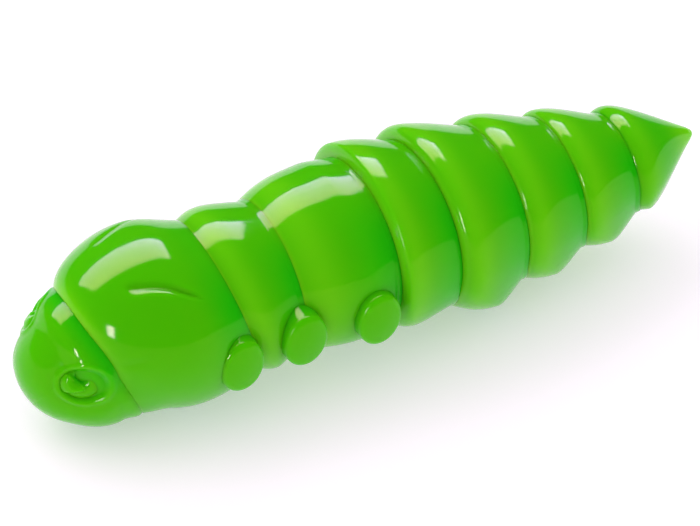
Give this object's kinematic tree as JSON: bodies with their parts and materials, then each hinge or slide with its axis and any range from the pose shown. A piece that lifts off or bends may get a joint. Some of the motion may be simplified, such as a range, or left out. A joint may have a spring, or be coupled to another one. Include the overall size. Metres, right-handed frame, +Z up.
{
  "type": "soft plastic worm",
  "caption": "Soft glossy larva-shaped fishing bait with a ball-shaped head, ringed body, small leg buds and a pointed tail.",
  "frame": {"origin": "centre of the bounding box's base: half way between snout and tail tip, on the mirror plane, at the level of the belly flats it lies on", "axes": "+X along the body from snout to tail tip, +Y to the bait's own right, +Z up through its back"},
  "size_m": [0.032, 0.0088, 0.0084],
  "materials": {
    "soft_plastic": "gloss"
  },
  "bodies": {
    "head_body": {"snout": "soft_plastic", "eye_left": "soft_plastic", "eye_right": "soft_plastic", "head": "soft_plastic", "leg_front_left": "soft_plastic", "leg_front_right": "soft_plastic", "flex_neck_1": "soft_plastic"},
    "thorax_front_body": {"thorax_front": "soft_plastic", "leg_middle_left": "soft_plastic", "leg_middle_right": "soft_plastic", "flex_neck_2": "soft_plastic"},
    "thorax_rear_body": {"thorax_rear": "soft_plastic", "leg_rear_left": "soft_plastic", "leg_rear_right": "soft_plastic", "flex_neck_3": "soft_plastic"},
    "ring_1_body": {"abdomen_ring_1": "soft_plastic", "flex_neck_4": "soft_plastic"},
    "ring_2_body": {"abdomen_ring_2": "soft_plastic", "flex_neck_5": "soft_plastic"},
    "ring_3_body": {"abdomen_ring_3": "soft_plastic", "flex_neck_6": "soft_plastic"},
    "ring_4_body": {"abdomen_ring_4": "soft_plastic", "flex_neck_7": "soft_plastic"},
    "tail_body": {"tail_cone": "soft_plastic"}
  },
  "joints": [
    {"name": "head_nod", "type": "hinge", "parent": "thorax_front_body", "child": "head_body", "pos_m": [-0.00685, 0, 0.00412], "axis": [0, 1, 0], "range_deg": [-8, 8], "stiffness_Nm_per_rad": 0.00563, "deforming": ["flex_neck_1"]},
    {"name": "thorax_nod", "type": "hinge", "parent": "thorax_rear_body", "child": "thorax_front_body", "pos_m": [-0.00433, 0, 0.00412], "axis": [0, 1, 0], "range_deg": [-8, 8], "stiffness_Nm_per_rad": 0.00489, "deforming": ["flex_neck_2"]},
    {"name": "waist_swing", "type": "hinge", "parent": "thorax_rear_body", "child": "ring_1_body", "pos_m": [-0.00016, 0, 0.00412], "axis": [0, 0, 1], "range_deg": [-9, 9], "stiffness_Nm_per_rad": 0.0072, "deforming": ["flex_neck_3"]},
    {"name": "ring_2_curl", "type": "hinge", "parent": "ring_1_body", "child": "ring_2_body", "pos_m": [0.00262, 0, 0.00412], "axis": [0, 1, 0], "range_deg": [-9, 9], "stiffness_Nm_per_rad": 0.00785, "deforming": ["flex_neck_4"]},
    {"name": "ring_3_swing", "type": "hinge", "parent": "ring_2_body", "child": "ring_3_body", "pos_m": [0.00601, 0, 0.00412], "axis": [0, 0, 1], "range_deg": [-10, 10], "stiffness_Nm_per_rad": 0.00617, "deforming": ["flex_neck_5"]},
    {"name": "ring_4_curl", "type": "hinge", "parent": "ring_3_body", "child": "ring_4_body", "pos_m": [0.00915, 0, 0.00412], "axis": [0, 1, 0], "range_deg": [-12, 12], "stiffness_Nm_per_rad": 0.00327, "deforming": ["flex_neck_6"]},
    {"name": "tail_swing", "type": "hinge", "parent": "ring_4_body", "child": "tail_body", "pos_m": [0.01212, 0, 0.00412], "axis": [0, 0, 1], "range_deg": [-15, 15], "stiffness_Nm_per_rad": 0.00114, "deforming": ["flex_neck_7"]}
  ]
}
